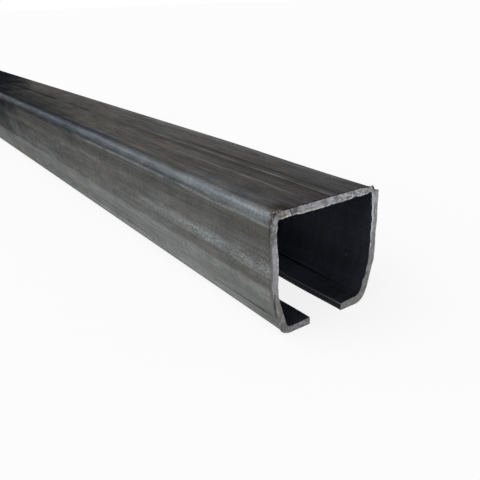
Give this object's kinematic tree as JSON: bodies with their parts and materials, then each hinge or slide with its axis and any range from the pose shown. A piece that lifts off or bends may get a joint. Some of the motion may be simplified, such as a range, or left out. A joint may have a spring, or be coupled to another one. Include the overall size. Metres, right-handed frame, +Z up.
{
  "type": "cantilever gate rail",
  "caption": "Straight roll-formed steel C rail with a flat top, leaning lower walls and a bottom slot between level lips; it carries a sliding gate on roller carriages that run inside it.",
  "frame": {"origin": "mid length of the bar, on the centre line of the slot, at the level of the lips' underside, on which the bar rests", "axes": "+X along the bar, +Y across it, +Z up, out of the flat top face"},
  "size_m": [1, 0.07, 0.066],
  "materials": {
    "black_steel": "bare hot-rolled mill scale, dark grey, satin, with rolling streaks along the bar"
  },
  "bodies": {
    "root": {"rail": "black_steel"}
  },
  "joints": []
}
